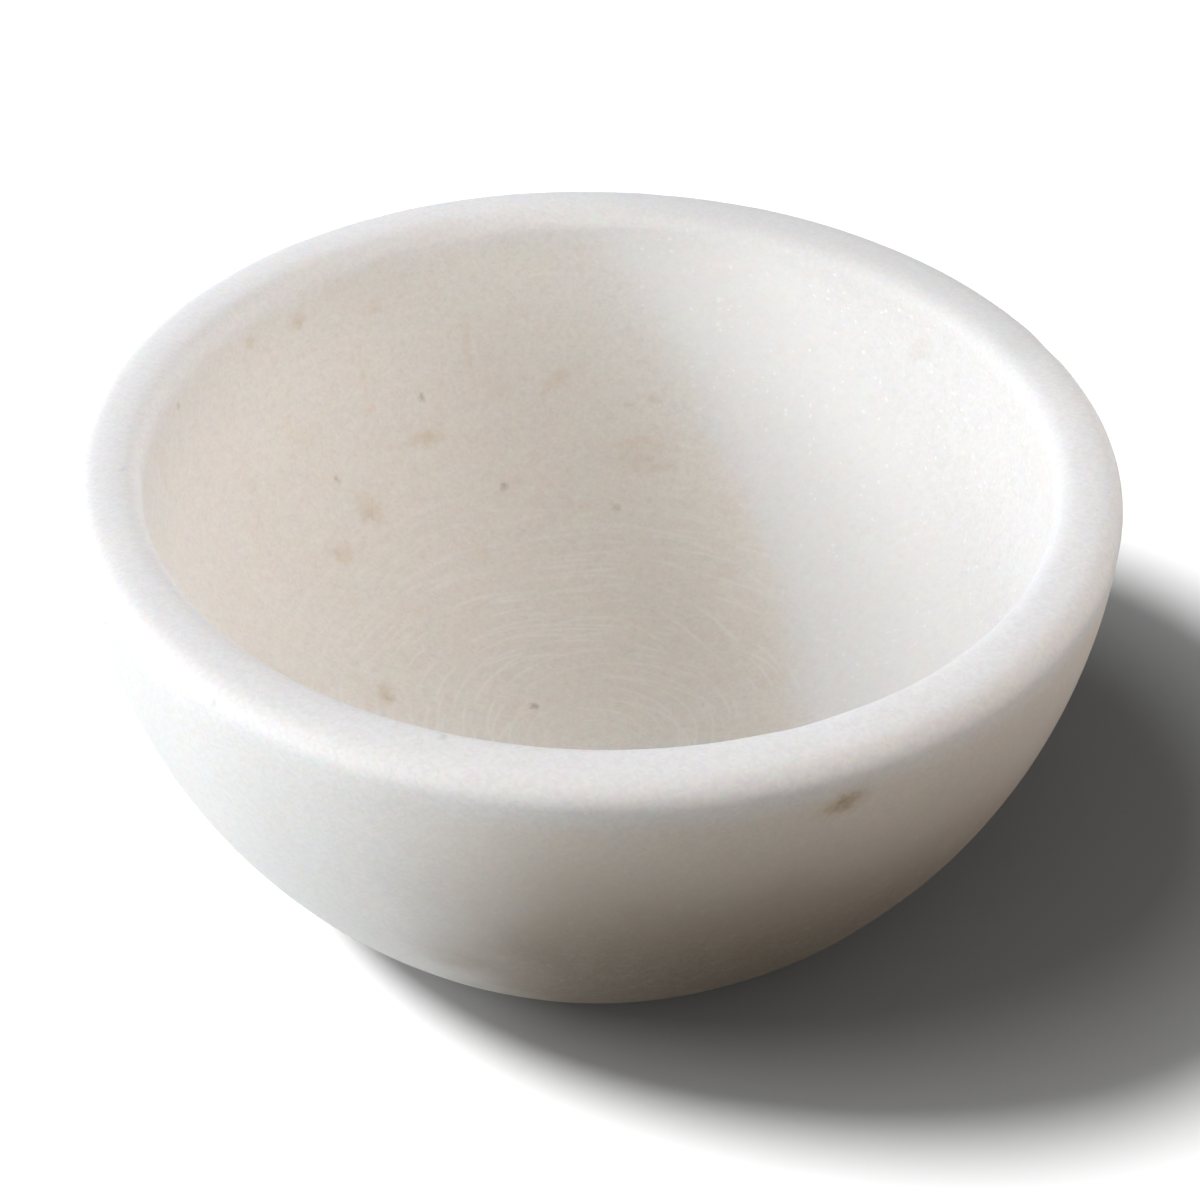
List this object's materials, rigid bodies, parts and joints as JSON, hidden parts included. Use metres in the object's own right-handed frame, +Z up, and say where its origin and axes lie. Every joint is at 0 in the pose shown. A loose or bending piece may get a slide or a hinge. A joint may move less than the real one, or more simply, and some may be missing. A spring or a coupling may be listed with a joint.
{
  "type": "shaving bowl",
  "caption": "Round stone shaving bowl with a dished floor, a thick wall that ends in a softly eased lip, and a flat ground base.",
  "frame": {"origin": "centre of the flat base, on the surface that the bowl stands on", "axes": "+Z up along the bowl's axis of revolution, through its open mouth; the bowl is the same all round, so +X and +Y only fix the side that is seen as its front, which faces -Y"},
  "size_m": [0.115, 0.115, 0.053],
  "materials": {
    "marble": "honed white marble, coarse grained, slightly translucent"
  },
  "bodies": {
    "root": {"stone_bowl": "marble"}
  },
  "joints": []
}
